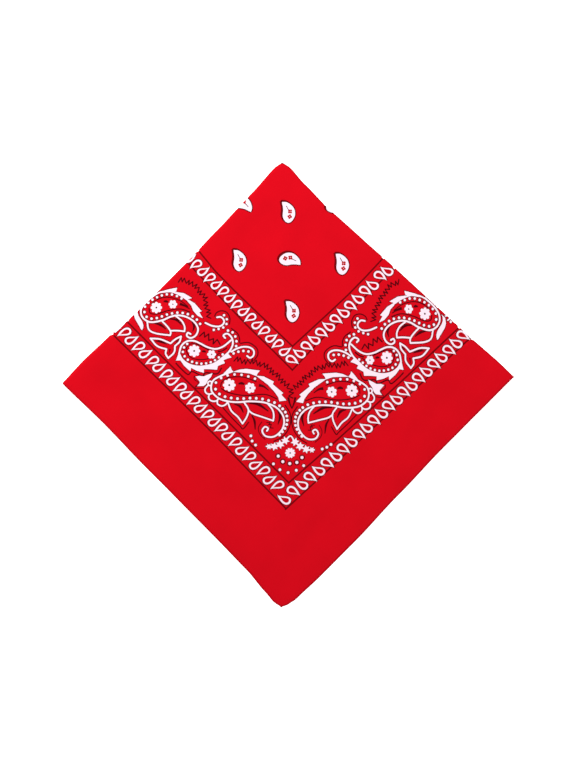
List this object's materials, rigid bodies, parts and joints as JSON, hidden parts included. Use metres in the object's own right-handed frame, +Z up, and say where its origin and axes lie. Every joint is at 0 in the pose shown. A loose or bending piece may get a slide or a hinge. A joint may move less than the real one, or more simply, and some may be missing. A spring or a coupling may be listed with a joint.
{
  "type": "bandana, folded",
  "caption": "Square cotton bandana with a paisley border, folded into quarters and lying flat as a diamond, hemmed on its free edges",
  "frame": {"origin": "centre of the folded cloth's bounding box, on the surface that it lies on", "axes": "+Z up, square to the cloth; +X along the diamond's long way, from the left corner to the right; +Y towards the folded corner, which is the middle of the whole cloth"},
  "size_m": [0.3886, 0.3827, 0.006],
  "materials": {
    "printed_cotton": "bright red plain-weave cotton printed with white and very dark red paisleys, teardrop borders and zigzags",
    "under_cotton": "the same red plain-weave cotton, wrong side and folded edges",
    "hem_cotton": "the same red cotton turned twice and sewn with matching thread",
    "hem_thread": "matching red sewing thread in a single row of lockstitch"
  },
  "bodies": {
    "root": {"top_panel": "printed_cotton", "under_layers": "under_cotton", "hem_left": "hem_cotton", "hem_right": "hem_cotton"}
  },
  "joints": []
}
